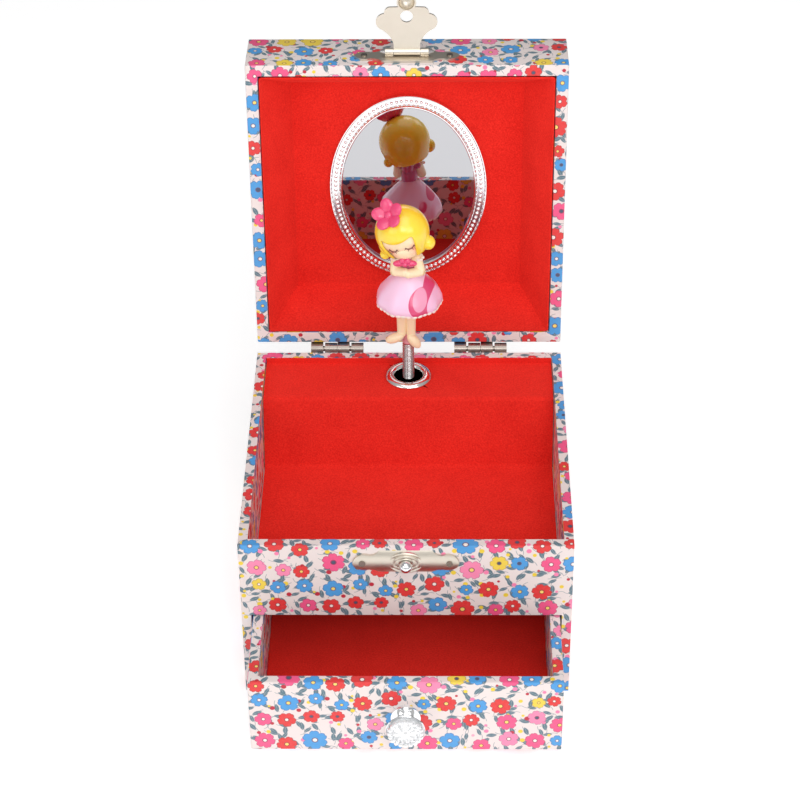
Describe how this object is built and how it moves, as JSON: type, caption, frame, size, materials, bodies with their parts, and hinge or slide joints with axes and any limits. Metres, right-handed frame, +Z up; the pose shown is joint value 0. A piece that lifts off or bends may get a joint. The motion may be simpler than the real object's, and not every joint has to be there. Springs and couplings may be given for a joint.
{
  "type": "musical jewellery box",
  "caption": "Square paper-covered jewellery box with a mirrored hinged lid, flocked compartment, knobbed drawer, hasp and a turning ballerina driven by a wind-up movement.",
  "frame": {"origin": "centre of the base's underside, below the middle of the square carcass", "axes": "+Z up, +X to the right seen from the front, +Y to the back where the lid is hinged; the drawer pulls out along -Y"},
  "size_m": [0.11, 0.1818, 0.2],
  "materials": {
    "printed_board": "board wrapped in printed floral paper",
    "grey_board": "plain grey board",
    "red_flock": "red velvet flock on card",
    "bright_nickel": "bright nickel plate",
    "dark_nickel": "dark nickel plate",
    "satin_nickel": "satin warm nickel plate",
    "catch_steel": "bright plated steel",
    "plated_frame": "silver-plated moulded plastic",
    "mirror": "silvered glass",
    "knob_chrome": "chrome plate",
    "crystal": "clear faceted crystal",
    "screw_steel": "zinc-plated steel",
    "doll_plastic": "painted moulded plastic",
    "movement_steel": "ground steel",
    "movement_brass": "machined brass",
    "gear_nylon": "white nylon"
  },
  "bodies": {
    "base": {"bottom_board": "printed_board", "left_side_board": "printed_board", "right_side_board": "printed_board", "back_board": "printed_board", "front_board": "printed_board", "shelf_board": "printed_board", "partition_board": "printed_board", "platform_board": "grey_board", "compartment_lining": "red_flock", "eyelet": "bright_nickel", "hinge_base_leaves": "dark_nickel", "hinge_pins": "dark_nickel", "base_nails": "dark_nickel", "catch_plate": "satin_nickel", "catch_stud": "catch_steel", "bedplate": "movement_steel", "bedplate_screws": "screw_steel", "cylinder_bridge": "movement_brass", "frame_screws": "screw_steel", "comb": "movement_steel", "comb_block": "movement_steel", "spindle_bracket": "movement_steel", "clutch_spring": "movement_steel"},
    "lid": {"lid_top_board": "printed_board", "lid_front_board": "printed_board", "lid_back_board": "printed_board", "lid_side_boards": "printed_board", "lid_lining": "red_flock", "mirror_frame": "plated_frame", "mirror_glass": "mirror", "hinge_lid_leaves": "dark_nickel", "lid_nails": "dark_nickel", "hasp_plate": "satin_nickel", "hasp_pin": "catch_steel"},
    "hasp": {"hasp": "satin_nickel"},
    "drawer": {"drawer_front": "printed_board", "drawer_sides": "printed_board", "drawer_back": "printed_board", "drawer_bottom": "printed_board", "drawer_lining": "red_flock", "knob_base": "knob_chrome", "knob_crystal": "crystal", "knob_screw": "screw_steel"},
    "spring": {"doll_spring": "catch_steel"},
    "doll": {"doll_figure": "doll_plastic"},
    "spindle": {"spindle_shaft": "movement_steel", "spindle_wheel": "movement_brass"},
    "barrel": {"barrel_drum": "movement_brass", "barrel_cap": "movement_brass", "mainspring": "movement_steel"},
    "cylinder": {"cylinder_arbor": "movement_steel", "cylinder_wheel": "movement_brass", "cylinder_drum": "movement_brass"},
    "idler": {"idler_arbor": "movement_steel", "idler_wheel": "gear_nylon"},
    "fly": {"fly_arbor": "movement_steel", "fly_vanes": "gear_nylon"},
    "winding": {"winding_arbor": "movement_steel", "winding_key": "bright_nickel"}
  },
  "joints": [
    {"name": "lid_hinge", "type": "hinge", "parent": "base", "child": "lid", "pos_m": [0, 0.0575, 0.064], "axis": [1, 0, 0], "range_deg": [0, 93]},
    {"name": "hasp_hinge", "type": "hinge", "parent": "lid", "child": "hasp", "pos_m": [0, 0.07019, 0.17819], "axis": [1, 0, 0], "range_deg": [-80, 87]},
    {"name": "drawer_slide", "type": "slide", "parent": "base", "child": "drawer", "axis": [0, -1, 0], "range_m": [-0.0324, 0.0276]},
    {"name": "doll_bend", "type": "hinge", "parent": "base", "child": "spring", "pos_m": [0, 0.043, 0.0692], "axis": [1, 0, 0], "range_deg": [0, 93], "deforming": ["doll_spring"]},
    {"name": "barrel_spin", "type": "hinge", "parent": "base", "child": "barrel", "pos_m": [-0.01414, 0.04175, 0.0185], "axis": [0, 1, 0], "continuous": true},
    {"name": "cylinder_spin", "type": "hinge", "parent": "base", "child": "cylinder", "pos_m": [-0.01414, 0.038, 0.037], "axis": [0, 0, 1], "continuous": true},
    {"name": "idler_spin", "type": "hinge", "parent": "base", "child": "idler", "pos_m": [-0.02674, 0.038, 0.037], "axis": [0, 0, 1], "continuous": true},
    {"name": "fly_spin", "type": "hinge", "parent": "base", "child": "fly", "pos_m": [-0.03674, 0.038, 0.037], "axis": [0, 0, 1], "continuous": true},
    {"name": "spindle_spin", "type": "hinge", "parent": "base", "child": "spindle", "pos_m": [0, 0.043, 0.037], "axis": [0, 0, 1], "continuous": true},
    {"name": "doll_spin", "type": "hinge", "parent": "spring", "child": "doll", "pos_m": [0, 0.043, 0.0742], "axis": [0, 0, 1], "continuous": true},
    {"name": "key_turn", "type": "hinge", "parent": "base", "child": "winding", "pos_m": [-0.01414, 0.055, 0.0185], "axis": [0, 1, 0], "continuous": true}
  ],
  "couplings": [
    {"joint": "doll_bend", "follows": "lid_hinge", "ratio": 1},
    {"joint": "cylinder_spin", "follows": "barrel_spin", "ratio": -4},
    {"joint": "spindle_spin", "follows": "barrel_spin", "ratio": 7.1111},
    {"joint": "doll_spin", "follows": "barrel_spin", "ratio": 7.1111},
    {"joint": "idler_spin", "follows": "barrel_spin", "ratio": 12.8},
    {"joint": "fly_spin", "follows": "barrel_spin", "ratio": -51.2}
  ]
}
